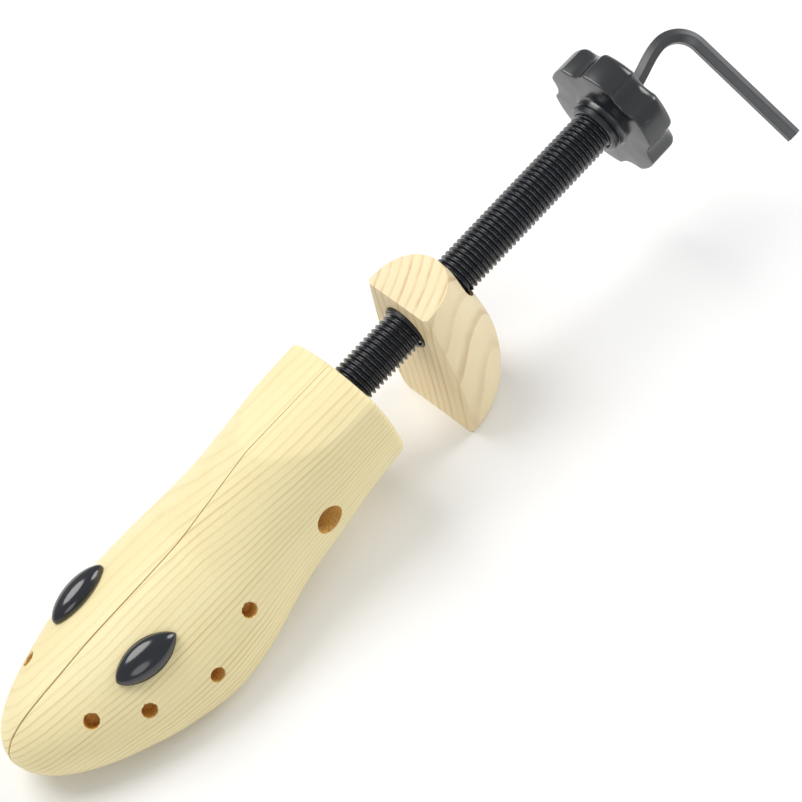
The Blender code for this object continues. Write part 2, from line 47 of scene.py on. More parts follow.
# ---------------------------------------------------------------- the screw's own frame
# Lengths below are millimetres from the centre of the forepart's rear face on the screw axis:
# x runs to the toe, y to the left, z up from the sole.
joints = {joint["name"]: joint for joint in frame["joints"]}
AXIS_X = Vector(joints["knob_turn"]["axis"]).normalized()
AXIS_Z = Vector(joints["half_left_swing"]["axis"]).normalized()
AXIS_Y = AXIS_Z.cross(AXIS_X).normalized()
HINGE_X = 1.8
ORIGIN = Vector(joints["half_left_swing"]["pos_m"]) - AXIS_X * (HINGE_X * MM)
TO_WORLD = Matrix.Translation(ORIGIN) @ Matrix((AXIS_X, AXIS_Y, AXIS_Z)).transposed().to_4x4()

FOREPART_LENGTH = 208.0
STATIONS = (
    (0.0, 31.0, -5.0, 26.5, -28.0, 2.3, 3.4),
    (24.0, 31.8, -7.1, 25.7, -30.0, 2.2, 3.6),
    (45.0, 32.8, -11.0, 23.4, -33.0, 2.0, 4.0),
    (62.0, 33.8, -14.0, 20.0, -35.0, 1.95, 4.2),
    (82.0, 37.4, -17.5, 15.6, -37.0, 1.9, 4.2),
    (99.0, 41.3, -21.0, 12.4, -39.0, 1.88, 4.0),
    (121.0, 43.6, -24.0, 11.5, -40.0, 1.86, 3.8),
    (146.0, 40.6, -21.5, 10.9, -38.0, 1.95, 3.2),
    (170.0, 33.4, -19.5, 8.6, -34.0, 2.1, 2.6),
    (188.0, 25.4, -16.6, 6.4, -28.6, 2.05, 2.3),
    (199.0, 17.6, -14.0, 2.8, -23.8, 2.0, 2.0),
    (206.0, 8.4, -11.6, -3.6, -17.4, 2.0, 2.0),
    (FOREPART_LENGTH, 1.6, -11.0, -9.4, -12.6, 2.0, 2.0),
)
REAR_EDGE_ROUND = 2.4
SADDLE_CROWN = 22.4
SADDLE_DROP = 5.4
SADDLE_HALF_WIDTH = 22.5
KERF_REAR = 0.1
KERF_TOE = 0.5
PLUG_HOLES = ((173.5, 1.3), (154.5, -6.5), (125.0, -14.5), (97.0, -6.5))
PLUG_HOLE_R = 3.4
PLUG_HOLE_DEPTH = 9.0
DRILL_RUN_OUT = 6.0
CHIP_SHIFT = 0.35
SIDE_HOLE = (46.5, -9.5)
SIDE_HOLE_R = 6.75
SIDE_HOLE_FLOOR_Y = 10.0
BOLT_HOLE_R = 3.6
ROD_CHANNEL_R = 4.9
JOURNAL_SEAT_R = 12.4
HARDWARE_REBATE = (11.2, 28.0, 34.0)
BUNION_S = 140.0
BUNION_Y = 22.9
BUNION_SIZE = (31.0, 14.6, 5.6)
BUNION_SPLAY = math.radians(7.5)
BUNION_TAPER = 0.62
BUNION_REAR_TAPER = BUNION_TAPER + 0.12
BUNION_BASE = 0.9
BUNION_SOCKET_DEPTH = 8.6
BUNION_PEG_DEPTH = 8.0
BUNION_PEG_R = 3.1
TUBE_R = 10.0
PITCH = 2.5
THREAD_DEPTH = 1.5
TUBE_BORE_R = 4.3
JOURNAL_R = 8.3
TUBE_END_X = -173.0
KNOB_NEAR_X = -166.0
KNOB_FAR_X = -182.5
KNOB_R = 29.8
KNOB_HOLLOW = 3.4
KNOB_LOBES = 6
KNOB_LOBE_PHASE = math.radians(21.0)
KNOB_LOBE_HALF = math.radians(15.5)
HUB_FACE_X = -159.5
SET_SCREW_X = HUB_FACE_X - 3.2
SET_SCREW_R = 1.6
RECESS_FLOOR_X = -176.5
RECESS_R = 8.0
ROD_WAY_R = 4.7
ROD_ACROSS_FLATS = 6.35
ROD_SHOULDER_X = 68.0
STUD_END_X = 126.5
STUD_R = 3.0
ROD_BEND_X = -223.0
ROD_BEND_R = 13.0
ROD_LEG = 72.0
ROD_LEG_DIRECTION = Vector((0, 0.829, -0.559))
ROD_TIP_FROM_AXIS = 67.0
HEEL_FRONT_X = -37.5
HEEL_LEAN = 0.09
BUSH_HOLE_R = 11.5
HEEL_SECTIONS = (
    (-64.0, 22.4, 25.0),
    (-62.0, 23.6, 28.8),
    (-54.0, 25.4, 35.0),
    (-37.0, 26.2, 38.6),
    (-16.0, 24.4, 36.2),
    (2.0, 21.6, 31.2),
    (14.0, 19.4, 27.2),
    (18.6, 18.4, 25.6),
)


# ---------------------------------------------------------------- node tools
class Tree:
    """Adds nodes to a material's or a group's tree and links them."""

    def __init__(self, tree):
        self.nodes = tree.nodes
        self.links = tree.links

    def add(self, kind, **settings):
        node = self.nodes.new(kind)
        inputs = settings.pop("inputs", {})
        for name, value in settings.items():
            setattr(node, name, value)
        for name, value in inputs.items():
            self.feed(node.inputs[name], value)
        return node

    def feed(self, socket, value):
        if isinstance(value, bpy.types.NodeSocket):
            self.links.new(value, socket)
        else:
            socket.default_value = value

    def math(self, operation, a, b=0.0, clamp=False):
        node = self.add("ShaderNodeMath", operation=operation, use_clamp=clamp)
        self.feed(node.inputs[0], a)
        self.feed(node.inputs[1], b)
        return node.outputs[0]

    def noise(self, vector, scale, detail=3.0, rough=0.55):
        settings = {"Vector": vector, "Scale": scale, "Detail": detail, "Roughness": rough}
        return self.add("ShaderNodeTexNoise", inputs=settings).outputs["Fac"]

    def stretch(self, vector, scale):
        node = self.add("ShaderNodeVectorMath", operation="MULTIPLY", inputs={0: vector, 1: scale})
        return node.outputs[0]

    def span(self, value, low, high, to_low=0.0, to_high=1.0):
        settings = {"Value": value, "From Min": low, "From Max": high, "To Min": to_low, "To Max": to_high}
        node = self.add("ShaderNodeMapRange", interpolation_type="SMOOTHSTEP", inputs=settings)
        return node.outputs["Result"]

    def mix(self, factor, a, b):
        node = self.add("ShaderNodeMix", data_type="RGBA")
        self.feed(node.inputs[0], factor)
        self.feed(node.inputs[6], a)
        self.feed(node.inputs[7], b)
        return node.outputs[2]


def new_group(name, inputs, outputs):
    group = bpy.data.node_groups.new(name, "ShaderNodeTree")
    for label, kind, value in inputs:
        socket = group.interface.new_socket(label, in_out="INPUT", socket_type=kind)
        if value is not None:
            socket.default_value = value
    for label, kind in outputs:
        group.interface.new_socket(label, in_out="OUTPUT", socket_type=kind)
    tree = Tree(group)
    source = tree.nodes.new("NodeGroupInput")
    sink = tree.nodes.new("NodeGroupOutput")
    return group, tree, source.outputs, sink.inputs


def wood_group():
    """Growth rings round the x axis of the vector it is given, with fibres and soft mottling."""
    group, t, given, result = new_group(
        "pine_rings",
        (("Vector", "NodeSocketVector", None), ("Ring Width", "NodeSocketFloat", 0.0026),
         ("Contrast", "NodeSocketFloat", 1.0), ("Early", "NodeSocketColor", (0.9, 0.77, 0.46, 1)),
         ("Late", "NodeSocketColor", (0.66, 0.47, 0.2, 1))),
        (("Color", "NodeSocketColor"), ("Height", "NodeSocketFloat"), ("Late Wood", "NodeSocketFloat")),
    )
    vector = given["Vector"]
    parts = t.add("ShaderNodeSeparateXYZ", inputs={0: vector})
    sway = t.noise(t.stretch(vector, (7.0, 16.0, 16.0)), 1.0, 2.0, 0.4)
    ripple = t.noise(t.stretch(vector, (60.0, 150.0, 150.0)), 1.0, 2.0, 0.5)
    across, above = (t.math("POWER", parts.outputs[axis], 2.0) for axis in "YZ")
    radius = t.math("SQRT", t.math("ADD", across, above))
    radius = t.math("ADD", radius, t.math("MULTIPLY", sway, 0.009))
    radius = t.math("ADD", radius, t.math("MULTIPLY", ripple, 0.0007))
    rings = t.math("DIVIDE", radius, given["Ring Width"])
    phase = t.math("FRACT", rings)
    rise = t.span(phase, 0.5, 0.9)
    fall = t.span(phase, 0.91, 1.0)
    late = t.math("MULTIPLY", rise, t.math("SUBTRACT", 1.0, fall))
    year = t.add("ShaderNodeTexWhiteNoise", noise_dimensions="1D", inputs={"W": t.math("FLOOR", rings)})
    strength = t.noise(t.stretch(vector, (5.0, 90.0, 90.0)), 1.0, 2.0, 0.6)
    late = t.math("MULTIPLY", late, t.span(strength, 0.3, 0.7, 0.4, 1.0))
    late = t.math("MULTIPLY", late, t.math("ADD", t.math("MULTIPLY", year.outputs["Value"], 0.6), 0.4))
    late = t.math("MULTIPLY", late, t.span(parts.outputs["Y"], -0.105, -0.04, 0.35, 1.0))
    late = t.math("MULTIPLY", late, given["Contrast"], clamp=True)
    fibres = t.noise(t.stretch(vector, (35.0, 1500.0, 1500.0)), 1.0, 3.0, 0.6)
    mottle = t.noise(t.stretch(vector, (14.0, 45.0, 45.0)), 1.0, 3.0, 0.5)
    colour = t.mix(late, given["Early"], given["Late"])
    colour = t.mix(t.span(fibres, 0.45, 0.8, 0.0, 0.16), colour, (0.56, 0.38, 0.16, 1))
    colour = t.mix(t.span(mottle, 0.35, 0.75, 0.0, 0.3), colour, (0.93, 0.85, 0.56, 1))
    t.feed(result["Color"], colour)
    raised = t.math("ADD", t.math("MULTIPLY", fibres, 0.6), t.math("MULTIPLY", late, 0.5))
    t.feed(result["Height"], raised)
    t.feed(result["Late Wood"], late)
    return group


def wear_group():
    """Fine scuffs, moulding texture and dust, as a mask and a height."""
    group, t, given, result = new_group(
        "fine_wear",
        (("Vector", "NodeSocketVector", None), ("Grain Scale", "NodeSocketFloat", 2500.0)),
        (("Scuffs", "NodeSocketFloat"), ("Height", "NodeSocketFloat"), ("Dust", "NodeSocketFloat")),
    )
    vector = given["Vector"]
    grain = t.noise(vector, given["Grain Scale"], 2.0, 0.5)
    patches = t.noise(vector, 60.0, 3.0, 0.6)
    streaks = t.noise(t.stretch(vector, (120.0, 1400.0, 900.0)), 1.0, 2.0, 0.5)
    scuffs = t.math("MULTIPLY", t.span(streaks, 0.62, 0.78), t.span(patches, 0.45, 0.7))
    t.feed(result["Scuffs"], scuffs)
    t.feed(result["Height"], grain)
    t.feed(result["Dust"], t.span(t.noise(vector, 700.0, 3.0, 0.7), 0.66, 0.8))
    return group


WOOD_RINGS = wood_group()
FINE_WEAR = wear_group()
PITCH_ANGLE = math.atan2(-AXIS_X.z, AXIS_X.x)
GRAIN_LEAN = 0.14


def base_material(name, roughness=0.5, metallic=0.0):
    mat = bpy.data.materials.new(name)
    mat.use_nodes = True
    tree = Tree(mat.node_tree)
    shader = mat.node_tree.nodes["Principled BSDF"]
    shader.inputs["Roughness"].default_value = roughness
    shader.inputs["Metallic"].default_value = metallic
    place = tree.add("ShaderNodeTexCoord").outputs["Object"]
    return mat, tree, shader, place


def bump(tree, shader, height, distance, strength=1.0):
    node = tree.add("ShaderNodeBump", inputs={"Height": height, "Distance": distance, "Strength": strength})
    tree.feed(shader.inputs["Normal"], node.outputs["Normal"])


def along_grain(tree, place, pith, grain_up=False):
    """Moves the pattern so that its x axis is the pith, given as a point in the screw's frame."""
    centre = TO_WORLD @ (Vector(pith) * MM)
    shift = tree.add("ShaderNodeVectorMath", operation="SUBTRACT", inputs={0: place, 1: centre}).outputs[0]
    turn = math.radians(90.0) - PITCH_ANGLE if grain_up else -PITCH_ANGLE
    lean = GRAIN_LEAN if grain_up else 0.0
    return tree.add("ShaderNodeMapping", inputs={"Vector": shift, "Rotation": (lean, turn, 0.0)}).outputs[0]


def pine(name, pith, early, late, ring_width, contrast=1.0, grain_up=False):
    """Sanded pine, with its rings round a pith line through a point of the screw's frame."""
    mat, t, shader, place = base_material(name, 0.48)
    rings = t.add("ShaderNodeGroup", node_tree=WOOD_RINGS)
    for label, value in (("Vector", along_grain(t, place, pith, grain_up)), ("Ring Width", ring_width),
                         ("Contrast", contrast), ("Early", early), ("Late", late)):
        t.feed(rings.inputs[label], value)
    wear = t.add("ShaderNodeGroup", node_tree=FINE_WEAR, inputs={"Vector": place, "Grain Scale": 1800.0})
    rubbed = t.math("MULTIPLY", wear.outputs["Scuffs"], 0.12)
    t.feed(shader.inputs["Base Color"], t.mix(rubbed, rings.outputs["Color"], (0.5, 0.34, 0.15, 1)))
    rough = t.math("ADD", t.math("MULTIPLY", rings.outputs["Late Wood"], -0.08), 0.5)
    t.feed(shader.inputs["Roughness"], t.math("ADD", rough, t.math("MULTIPLY", wear.outputs["Dust"], 0.1)))
    shader.inputs["Specular IOR Level"].default_value = 0.35
    bump(t, shader, rings.outputs["Height"], 0.00012, 0.6)
    return mat


def drilled(name):
    """Raw end grain inside a drilled hole: browner, rough and torn."""
    mat, t, shader, place = base_material(name, 0.75)
    tear = t.noise(place, 900.0, 4.0, 0.7)
    char = t.noise(place, 240.0, 3.0, 0.6)
    colour = t.mix(t.span(tear, 0.35, 0.7), (0.8, 0.43, 0.08, 1), (0.95, 0.68, 0.26, 1))
    colour = t.mix(t.span(char, 0.5, 0.8, 0.0, 0.7), colour, (0.4, 0.17, 0.035, 1))
    t.feed(shader.inputs["Base Color"], colour)
    t.feed(shader.inputs["Roughness"], t.span(tear, 0.2, 0.8, 0.65, 0.9))
    bump(t, shader, tear, 0.0005)
    return mat


def plastic(name, colour, roughness, texture=0.00002, shine=0.5):
    mat, t, shader, place = base_material(name, roughness)
    wear = t.add("ShaderNodeGroup", node_tree=FINE_WEAR, inputs={"Vector": place, "Grain Scale": 2500.0})
    tone = t.mix(t.math("MULTIPLY", wear.outputs["Scuffs"], 0.5), colour, (0.09, 0.095, 0.1, 1))
    tone = t.mix(t.math("MULTIPLY", wear.outputs["Dust"], 0.15), tone, (0.2, 0.2, 0.2, 1))
    t.feed(shader.inputs["Base Color"], tone)
    rubbed = t.math("MULTIPLY", wear.outputs["Scuffs"], 0.25)
    t.feed(shader.inputs["Roughness"], t.math("ADD", rubbed, roughness))
    shader.inputs["Specular IOR Level"].default_value = shine
    bump(t, shader, wear.outputs["Height"], texture, 0.5)
    return mat


def metal(name, colour, roughness, metallic=1.0, shine=0.5):
    mat, t, shader, place = base_material(name, roughness, metallic)
    shader.inputs["Specular IOR Level"].default_value = shine
    wear = t.add("ShaderNodeGroup", node_tree=FINE_WEAR, inputs={"Vector": place, "Grain Scale": 3000.0})
    brushing = t.noise(t.stretch(place, (900.0, 60.0, 900.0)), 1.0, 2.0, 0.5)
    bright = (*(min(1.0, 1.5 * channel) for channel in colour[:3]), 1)
    tone = t.mix(t.span(brushing, 0.35, 0.7, 0.0, 0.35), colour, bright)
    tone = t.mix(t.math("MULTIPLY", wear.outputs["Dust"], 0.3), tone, (0.16, 0.14, 0.12, 1))
    t.feed(shader.inputs["Base Color"], tone)
    t.feed(shader.inputs["Roughness"], t.math("ADD", t.math("MULTIPLY", brushing, 0.18), roughness - 0.09))
    bump(t, shader, t.math("ADD", brushing, wear.outputs["Height"]), 0.00002, 0.5)
    return mat


FOREPART_PITH = (0.0, 62.0, -92.0)
HEEL_PITH = (-24.0, -58.0, 0.0)
MAT_FOREPART = pine(
    "sanded_pine_forepart", FOREPART_PITH,
    early=(0.88, 0.765, 0.435, 1), late=(0.63, 0.47, 0.19, 1), ring_width=0.0023,
)
MAT_HEEL = pine(
    "sanded_pine_heel", HEEL_PITH,
    early=(0.86, 0.71, 0.45, 1), late=(0.56, 0.37, 0.17, 1), ring_width=0.0046, contrast=0.95, grain_up=True,
)
MAT_DRILLED = drilled("drilled_pine")
MAT_PLUG = plastic("gloss_black_plug", (0.004, 0.006, 0.011, 1), 0.15, shine=0.9)
MAT_KNOB = plastic("gloss_black_knob", (0.007, 0.009, 0.012, 1), 0.22, shine=1.0)
MAT_BUSH = plastic("black_bush", (0.01, 0.011, 0.013, 1), 0.35)
MAT_TUBE = plastic("black_threaded_tube", (0.007, 0.009, 0.013, 1), 0.25, 0.00003, shine=0.8)
MAT_ROD = metal("black_oxide_steel", (0.02, 0.022, 0.027, 1), 0.33, 0.0, shine=1.0)
MAT_STEEL = metal("bright_zinc_steel", (0.55, 0.56, 0.57, 1), 0.3)


# ---------------------------------------------------------------- modelling tools
def only(obj):
    bpy.ops.object.select_all(action="DESELECT")
    obj.select_set(True)
    bpy.context.view_layer.objects.active = obj


def edit(obj, *steps):
    """Runs operators on the whole mesh in edit mode."""
    only(obj)
    bpy.ops.object.mode_set(mode="EDIT")
    for step in steps:
        bpy.ops.mesh.select_all(action="SELECT")
        step()
    bpy.ops.object.mode_set(mode="OBJECT")
    return obj


def merge_doubles():
    bpy.ops.mesh.remove_doubles(threshold=0.002)


def close_ends():
    bpy.ops.mesh.select_all(action="DESELECT")
    bpy.ops.mesh.select_mode(type="EDGE")
    bpy.ops.mesh.select_non_manifold()
    bpy.ops.mesh.fill_holes(sides=0)
    bpy.ops.mesh.select_mode(type="VERT")


def face_out():
    bpy.ops.mesh.normals_make_consistent(inside=False)


def skin(name, around, along, place):
    """Wraps a grid round a shape: place(u, v) gives a point, u round it and v along it, both 0 to 1."""
    bpy.ops.object.select_all(action="DESELECT")
    bpy.ops.mesh.primitive_grid_add(x_subdivisions=around, y_subdivisions=along, size=1.0)
    obj = bpy.context.object
    obj.name = name
    for vertex in obj.data.vertices:
        u, v = round(vertex.co.x + 0.5, 6), round(vertex.co.y + 0.5, 6)
        vertex.co = place(u, v)
    return edit(obj, merge_doubles, close_ends, face_out)


def rod_cutter(name, start, end, radius, segments=48):
    """A drill or a peg: a cylinder from start to end, with the finish of a drilled hole."""
    start, end = Vector(start), Vector(end)
    direction = end - start
    bpy.ops.object.select_all(action="DESELECT")
    bpy.ops.mesh.primitive_cylinder_add(vertices=segments, radius=radius, depth=direction.length)
    obj = bpy.context.object
    obj.name = name
    obj.data.transform(direction.to_track_quat("Z", "Y").to_matrix().to_4x4())
    obj.data.transform(Matrix.Translation((start + end) / 2))
    obj.data.materials.append(MAT_DRILLED)
    return edit(obj, face_out)


def apply(obj, modifier):
    only(obj)
    bpy.ops.object.modifier_apply(modifier=modifier.name)


def cut(obj, cutter, operation="DIFFERENCE"):
    modifier = obj.modifiers.new("cut", "BOOLEAN")
    modifier.object = cutter
    modifier.operation = operation
    modifier.solver = "EXACT"
    modifier.material_mode = "TRANSFER"
    apply(obj, modifier)
    bpy.data.objects.remove(cutter, do_unlink=True)


def soften(obj, width, angle):
    """Bevels the edges that bend by more than the angle."""
    modifier = obj.modifiers.new("edges", "BEVEL")
    modifier.width = width
    modifier.segments = 2
    modifier.limit_method = "ANGLE"
    modifier.angle_limit = math.radians(angle)
    modifier.use_clamp_overlap = True
    apply(obj, modifier)


def finish_piece(obj, body, nodes, material=None, smooth_angle=35.0):
    """Puts a piece modelled in millimetres in its place and hands it to its body."""
    if material is not None:
        obj.data.materials.clear()
        obj.data.materials.append(material)
    obj.data.transform(TO_WORLD @ Matrix.Scale(MM, 4))
    only(obj)
    bpy.ops.object.shade_smooth_by_angle(angle=math.radians(smooth_angle))
    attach(obj, body)
    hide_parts(*nodes)


# ---------------------------------------------------------------- forepart
def station_value(s, column):
    """Monotone cubic through one column of the stations."""
    xs = [row[0] for row in STATIONS]
    ys = [row[column] for row in STATIONS]
    slopes = [(ys[i + 1] - ys[i]) / (xs[i + 1] - xs[i]) for i in range(len(xs) - 1)]
    tangents = [slopes[0]]
    for before, after in zip(slopes, slopes[1:]):
        tangents.append(2 * before * after / (before + after) if before * after > 0 else 0.0)
    tangents.append(slopes[-1])
    i = max(0, min(len(xs) - 2, sum(1 for x in xs[1:] if x < s)))
    h = xs[i + 1] - xs[i]
    t = (s - xs[i]) / h
    return (
        (1 + 2 * t) * (1 - t) ** 2 * ys[i] + t * (1 - t) ** 2 * h * tangents[i]
        + t * t * (3 - 2 * t) * ys[i + 1] + t * t * (t - 1) * h * tangents[i + 1]
    )


section_cache = {}


def section(s):
    key = round(s, 4)
    if key not in section_cache:
        section_cache[key] = [station_value(s, column) for column in range(1, 7)]
    return section_cache[key]


def saddle_height(y):
    return SADDLE_CROWN - SADDLE_DROP * (y / SADDLE_HALF_WIDTH) ** 2


def forepart_point(s, turn, inset=0.0):
    half, widest, crown, sole, square_up, square_down = section(s)
    angle = TAU * turn
    up = math.sin(angle) > 0
    power = 2 / (square_up if up else square_down)
    reach = (crown - widest) if up else (widest - sole)
    y = (half - inset) * math.copysign(abs(math.cos(angle)) ** power, math.cos(angle))
    z = widest + (reach - inset) * math.copysign(abs(math.sin(angle)) ** power, math.sin(angle))
    return Vector((s, y, min(z, saddle_height(y) - inset)))


def forepart_skin(u, v):
    """v runs from the rounded rear edge to the toe."""
    edge_share, toe_share = 0.04, 0.80
    straight_end = 188.0
    if v < edge_share:
        turn = v / edge_share * math.pi / 2
        x = REAR_EDGE_ROUND * (1 - math.cos(turn))
        point = forepart_point(0.0, u, REAR_EDGE_ROUND * (1 - math.sin(turn)))
        point.x = x
        return point
    if v < toe_share:
        s = REAR_EDGE_ROUND + (v - edge_share) / (toe_share - edge_share) * (straight_end - REAR_EDGE_ROUND)
        return forepart_point(s, u)
    turn = (v - toe_share) / (1 - toe_share) * math.pi / 2
    return forepart_point(straight_end + (FOREPART_LENGTH - straight_end) * math.sin(turn), u)


def side_point(s, z):
    """A point on the left side of the forepart and its outward normal."""
    def outside(p):
        half, widest, crown, sole, up, down = section(p[0])
        square = up if p[2] > widest else down
        reach = (crown - widest) if p[2] > widest else (widest - sole)
        return (abs(p[1]) / half) ** square + (abs(p[2] - widest) / reach) ** square - 1

    low, high = 0.0, 60.0
    for _ in range(40):
        middle = (low + high) / 2
        if outside((s, middle, z)) > 0:
            high = middle
        else:
            low = middle
    point = Vector((s, low, z))
    steps = (Vector((0.05, 0, 0)), Vector((0, 0.05, 0)), Vector((0, 0, 0.05)))
    normal = Vector([outside(point + step) - outside(point - step) for step in steps])
    return point, normal.normalized()


def height_at(s, y):
    """Height of the forepart's upper skin."""
    half, widest, crown, _, square, _ = section(s)
    return widest + (crown - widest) * (1 - (abs(y) / half) ** square) ** (1 / square)


def mirrored(vector, side):
    return Vector((vector[0], vector[1] * side, vector[2]))


def bunion_frame(side):
    """A plug's seat on the wood, the way it is pulled and its long axis."""
    s, y = BUNION_S, BUNION_Y
    reach_s, reach_y = 8, 4
    rise_s = (height_at(s + reach_s, y) - height_at(s - reach_s, y)) / (2 * reach_s)
    rise_y = (height_at(s, y + reach_y) - height_at(s, y - reach_y)) / (2 * reach_y)
    out = Vector((-rise_s, -rise_y, 1)).normalized()
    along = Vector((math.cos(BUNION_SPLAY), -math.sin(BUNION_SPLAY), 0))
    along = (along - out * along.dot(out)).normalized()
    seat = Vector((s, y, height_at(s, y))) + out * 0.3
    return mirrored(seat, side), mirrored(out, side), mirrored(along, side)


def kerf_block(side):
    """The space on one side of the saw cut, with the cut widening to the toe."""
    bpy.ops.object.select_all(action="DESELECT")
    bpy.ops.mesh.primitive_cube_add(size=1.0)
    obj = bpy.context.object
    obj.name = "kerf_block"
    outer_y, height, margin = 80.0, 120.0, 10.0
    for vertex in obj.data.vertices:
        x, cut_y = (FOREPART_LENGTH + margin, KERF_TOE) if vertex.co.x > 0 else (-margin, KERF_REAR)
        y = cut_y if vertex.co.y * side < 0 else outer_y
        vertex.co = Vector((x, side * y, vertex.co.z * height))
    obj.data.materials.append(MAT_FOREPART)
    return edit(obj, face_out)


def chipped_mouth(point, normal, side):
    """A shallow ragged cone where the drill tore the wood's skin."""
    overlap, depth, chip_width = 1.0, 0.7, 1.1
    start, end = point + normal * overlap, point - normal * depth
    mouth = rod_cutter("mouth", start, end, PLUG_HOLE_R + chip_width, 40)
    for vertex in mouth.data.vertices:
        height = (vertex.co - point).dot(normal)
        axis_point = point + normal * height
        ragged = 0.86 + 0.3 * noise.noise(vertex.co * 0.7 + Vector((7.0 * side, 0, 0)))
        if height < 0:
            ragged *= 0.84
        vertex.co = axis_point + (vertex.co - axis_point) * ragged
    mouth.data.materials[0] = MAT_FOREPART
    return mouth


def make_forepart(tag, side):
    half = skin("forepart_" + tag + "_wood", 144, 150, forepart_skin)
    half.data.materials.append(MAT_FOREPART)
    cut(half, kerf_block(side), "INTERSECT")
    x, z = SIDE_HOLE
    drills = [
        rod_cutter("rod_channel", (-3, 0, 0), (150, 0, 0), ROD_CHANNEL_R),
        rod_cutter("journal_seat", (-4, 0, 0), (9.5, 0, 0), JOURNAL_SEAT_R),
        rod_cutter("side_hole", (x, side * 60, z), (x, side * SIDE_HOLE_FLOOR_Y, z), SIDE_HOLE_R, 64),
        rod_cutter("bolt_hole", (x, side * 16, z), (x, -2 * side, z), BOLT_HOLE_R),
    ]
    for s, height in PLUG_HOLES:
        point, normal = side_point(s, height)
        point, normal = mirrored(point, side), mirrored(normal, side)
        off_centre = Vector((math.sin(s), math.cos(s), 0)) * CHIP_SHIFT
        drills.append(chipped_mouth(point + off_centre, normal, side))
        bottom = point - normal * PLUG_HOLE_DEPTH
        drills.append(rod_cutter("plug_hole", point + normal * DRILL_RUN_OUT, bottom, PLUG_HOLE_R))
    seat, out, _ = bunion_frame(side)
    drills.append(rod_cutter("plug_socket", seat + out * 8, seat - out * BUNION_SOCKET_DEPTH, PLUG_HOLE_R))
    bpy.ops.mesh.primitive_cube_add(size=1.0, location=(0, 0, 0))
    rebate = bpy.context.object
    rebate.data.transform(Matrix.Diagonal((*HARDWARE_REBATE, 1.0)))
    rebate.data.materials.append(MAT_DRILLED)
    drills.append(rebate)
    for drill in drills:
        cut(half, drill)
    half.data.materials[0] = MAT_FOREPART
    finish_piece(half, "half_" + tag, ["forepart_" + tag], smooth_angle=28.0)


def make_bunion(tag, side):
    """Almond-shaped head with a thin base line, standing on the wood, and the peg under it."""
    seat, out, along = bunion_frame(side)
    across = out.cross(along)
    length, width, height = BUNION_SIZE
    dome_share, flare = 0.72, 0.35

    def place(u, v):
        t = math.sin((v * 2 - 1) * math.radians(86))
        full = 1 - t * t
        half = width / 2 * full ** (BUNION_TAPER if t > 0 else BUNION_REAR_TAPER)
        tall = height * full ** BUNION_TAPER
        centre = seat + along * (t * length / 2)
        if u < dome_share:
            angle = u / dome_share * math.pi
            lift = BUNION_BASE + tall * math.sin(angle) ** 0.92
            return centre + across * (half * math.cos(angle)) + out * lift
        skirt = (u - dome_share) / (1 - dome_share)
        foot = half + flare * full
        if skirt < 0.25:
            return centre - across * foot + out * (BUNION_BASE * (1 - 4 * skirt))
        if skirt < 0.75:
            return centre + across * (foot * (4 * (skirt - 0.5)))
        return centre + across * foot + out * (BUNION_BASE * 4 * (skirt - 0.75))

    head = skin("bunion_plug_" + tag + "_head", 100, 72, place)
    peg = rod_cutter("peg", seat - out * BUNION_PEG_DEPTH, seat + out * 1.0, BUNION_PEG_R)
    cut(head, peg, "UNION")
    finish_piece(head, "plug_" + tag, ["bunion_plug_" + tag], MAT_PLUG, 40.0)


# ---------------------------------------------------------------- screw
def thread_radius(x, turn):
    """Right-hand thread with flat crests, fading out towards the forepart."""
    phase = (-x / PITCH + turn) % 1.0
    ramp = abs(phase - 0.5) * 2
    crest = min(1.0, max(0.0, (ramp - 0.16) / 0.7))
    fade = min(1.0, max(0.0, (-x - 1.0) / 1.6))
    return TUBE_R - THREAD_DEPTH * (1 - crest) * fade - 0.35 * (1 - fade)


def make_tube():
    near, far = -0.2, TUBE_END_X
    rows_per_turn = 12
    rows = int((near - far) / PITCH * rows_per_turn)

    def place(u, v):
        x = near + (far - near) * v
        r = thread_radius(x, u)
        return Vector((x, r * math.cos(TAU * u), r * math.sin(TAU * u)))

    tube = skin("tube_thread", 60, rows, place)
    bore = rod_cutter("tube_bore", (10, 0, 0), (-200, 0, 0), TUBE_BORE_R)
    journal = rod_cutter("journal", (7.2, 0, 0), (-3, 0, 0), JOURNAL_R)
    cut(tube, journal, "UNION")
    cut(tube, bore)
    finish_piece(tube, "screw", ["threaded_tube"], MAT_TUBE, 50.0)


def knob_radius(angle, rim):
    """Round lobes of radius rim with shallow hollows between them."""
    step = TAU / KNOB_LOBES
    from_lobe = abs((angle - KNOB_LOBE_PHASE + step / 2) % step - step / 2)
    into = max(0.0, (from_lobe - KNOB_LOBE_HALF) / (step / 2 - KNOB_LOBE_HALF))
    return rim - KNOB_HOLLOW * (1 - (1 - into) ** 2)


def make_hub():
    """The knob's collar round the tube, as depths behind its face and radii."""
    profile = ((0.0, 0.2), (0.0, 11.6), (0.25, 12.2), (0.8, 12.6), (2.6, 12.7), (2.9, 12.2), (3.3, 12.2))
    profile += ((3.6, 13.0), (5.2, 13.0), (6.0, 13.3), (6.5, 14.2), (9.0, 14.2))

    def place(u, v):
        depth, r = profile[round(v * (len(profile) - 1))]
        return Vector((HUB_FACE_X - depth, r * math.cos(TAU * u), r * math.sin(TAU * u)))

    return skin("hub", 96, len(profile) - 1, place)


